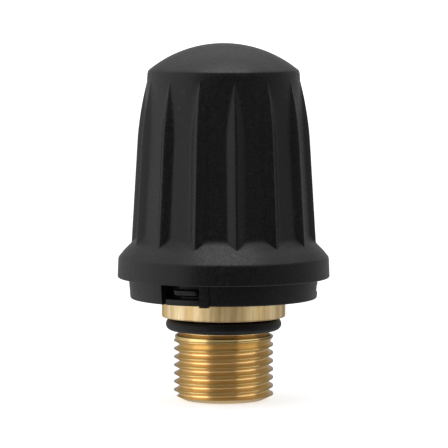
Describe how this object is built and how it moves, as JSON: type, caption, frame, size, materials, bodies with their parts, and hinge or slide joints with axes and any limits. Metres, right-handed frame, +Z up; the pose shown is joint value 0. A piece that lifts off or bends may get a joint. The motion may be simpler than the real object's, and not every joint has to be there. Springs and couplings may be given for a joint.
{
  "type": "boiler vent cap",
  "caption": "Fluted black hand grip with a domed top over a brass screw-in closure that holds a spring-loaded relief valve and seals on a rubber ring.",
  "frame": {"origin": "centre of the threaded spigot's end face, the flat annulus that the part stands on", "axes": "+Z up along the screw axis, from the spigot to the top of the dome; -Y is the front, towards the viewer"},
  "size_m": [0.0512, 0.0512, 0.086],
  "materials": {
    "grip_black": "moulded, fine grain, semi-matt",
    "ring_black": "moulded, semi-matt",
    "core_grey": "moulded, glass-filled",
    "zinc_steel": "sintered, satin",
    "screw_steel": "bright zinc",
    "slide_white": "smooth, waxy",
    "stainless": "stamped sheet",
    "spring_steel": "drawn wire",
    "brass_body": "turned, fine tool marks",
    "brass_inner": "turned",
    "seal_rubber": "smooth moulded rubber"
  },
  "bodies": {
    "closure": {"closure_body": "brass_body", "seal_o_ring": "seal_rubber", "spring_seat": "stainless", "relief_adjuster": "brass_inner", "adjuster_lock_nut": "brass_inner", "relief_spring": "spring_steel", "grip_spring": "spring_steel", "inlet_strainer": "stainless", "strainer_clip": "spring_steel"},
    "spring_carrier": {"spring_plate": "stainless", "upper_thrust_washer": "slide_white"},
    "grip": {"grip_cap": "grip_black", "retaining_ring": "ring_black", "grip_core": "core_grey", "drive_crown": "zinc_steel", "guide_bush": "slide_white", "steam_deflector": "stainless", "lower_thrust_washer": "slide_white", "crown_screw_1": "screw_steel", "crown_screw_2": "screw_steel", "crown_screw_3": "screw_steel", "core_screw_1": "screw_steel", "core_screw_2": "screw_steel", "core_screw_3": "screw_steel", "deflector_screw_1": "screw_steel", "deflector_screw_2": "screw_steel", "deflector_screw_3": "screw_steel"},
    "relief_valve": {"relief_poppet": "brass_inner", "poppet_seal": "seal_rubber"}
  },
  "joints": [
    {"name": "grip_push", "type": "slide", "parent": "closure", "child": "spring_carrier", "axis": [0, 0, 1], "range_m": [-0.003, 0], "stiffness_N_per_m": 2500, "springref_m": 0.004, "deforming": ["grip_spring"]},
    {"name": "grip_turn", "type": "hinge", "parent": "spring_carrier", "child": "grip", "pos_m": [0, 0, 0.04], "axis": [0, 0, 1], "continuous": true},
    {"name": "relief_lift", "type": "slide", "parent": "closure", "child": "relief_valve", "axis": [0, 0, 1], "range_m": [0, 0.0015], "stiffness_N_per_m": 4000, "springref_m": -0.004, "deforming": ["relief_spring"]}
  ]
}
